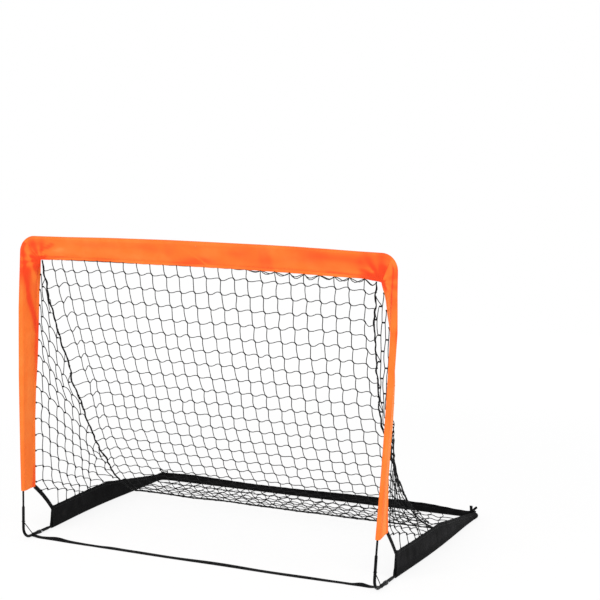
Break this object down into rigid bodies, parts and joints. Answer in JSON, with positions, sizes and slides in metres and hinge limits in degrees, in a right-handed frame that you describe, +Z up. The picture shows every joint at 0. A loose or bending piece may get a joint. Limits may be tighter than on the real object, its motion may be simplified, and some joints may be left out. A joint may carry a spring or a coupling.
{
  "type": "folding soccer goal",
  "caption": "Folding soccer goal: orange fabric sleeves over a rod frame, black side skirts, hanging black net, strap across the mouth.",
  "frame": {"origin": "on the floor, under the middle of the goal's outline", "axes": "+X to the right seen from in front of the mouth, +Y from the mouth to the back of the base, +Z up"},
  "size_m": [1.2162, 0.8332, 0.9203],
  "materials": {
    "orange_oxford": "matte woven",
    "black_oxford": "matte woven",
    "black_webbing": "matte woven",
    "net_twine": "matte",
    "elastic_cord": "matte",
    "glass_fibre_rod": "satin",
    "black_coated_tube": "satin",
    "zinc_steel": "satin"
  },
  "bodies": {
    "frame_left": {"post_rod_left": "glass_fibre_rod", "crossbar_rod_left": "glass_fibre_rod", "crossbar_hinge_left": "zinc_steel", "top_elbow_left": "black_coated_tube", "foot_elbow_left": "black_coated_tube", "foot_fork_left": "black_coated_tube", "foot_pin_left": "zinc_steel", "post_sleeve_left": "orange_oxford", "crossbar_sleeve_left": "orange_oxford", "back_net_left": "net_twine", "side_net_left": "net_twine", "net_seam_cord_left": "elastic_cord", "corner_brace_left": "black_webbing", "ground_strap_left": "black_webbing", "elbow_elastic_left": "elastic_cord", "crossbar_hinge_pin": "zinc_steel"},
    "frame_right": {"post_rod_right": "glass_fibre_rod", "crossbar_rod_right": "glass_fibre_rod", "crossbar_hinge_right": "zinc_steel", "top_elbow_right": "black_coated_tube", "foot_elbow_right": "black_coated_tube", "foot_fork_right": "black_coated_tube", "foot_pin_right": "zinc_steel", "post_sleeve_right": "orange_oxford", "crossbar_sleeve_right": "orange_oxford", "back_net_right": "net_twine", "side_net_right": "net_twine", "net_seam_cord_right": "elastic_cord", "corner_brace_right": "black_webbing", "ground_strap_right": "black_webbing", "elbow_elastic_right": "elastic_cord"},
    "base_left": {"side_rod_left": "glass_fibre_rod", "side_rod_eye_left": "black_coated_tube", "side_skirt_left": "black_oxford", "skirt_binding_left": "black_webbing", "rear_elbow_left": "black_coated_tube", "rear_rod_left": "glass_fibre_rod", "rear_sleeve_left": "black_oxford", "floor_net_left": "net_twine", "corner_tie_left": "elastic_cord", "rear_ferrule": "zinc_steel"},
    "base_right": {"side_rod_right": "glass_fibre_rod", "side_rod_eye_right": "black_coated_tube", "side_skirt_right": "black_oxford", "skirt_binding_right": "black_webbing", "rear_elbow_right": "black_coated_tube", "rear_rod_right": "glass_fibre_rod", "rear_sleeve_right": "black_oxford", "floor_net_right": "net_twine", "corner_tie_right": "elastic_cord"}
  },
  "joints": [
    {"name": "book_fold", "type": "hinge", "parent": "frame_left", "child": "frame_right", "pos_m": [0, -0.34998, 0.91458], "axis": [0, -0.0769, -0.997], "range_deg": [0, 180]},
    {"name": "base_fold_left", "type": "hinge", "parent": "frame_left", "child": "base_left", "pos_m": [-0.57428, -0.3245, 0.006], "axis": [1, 0, 0], "range_deg": [0, 80], "deforming": ["back_net_left", "side_net_left", "net_seam_cord_left", "corner_brace_left"]},
    {"name": "base_fold_right", "type": "hinge", "parent": "frame_right", "child": "base_right", "pos_m": [0.57428, -0.3245, 0.006], "axis": [1, 0, 0], "range_deg": [0, 80], "deforming": ["back_net_right", "side_net_right", "net_seam_cord_right", "corner_brace_right"]}
  ],
  "couplings": [
    {"joint": "base_fold_right", "follows": "base_fold_left", "ratio": 1}
  ]
}
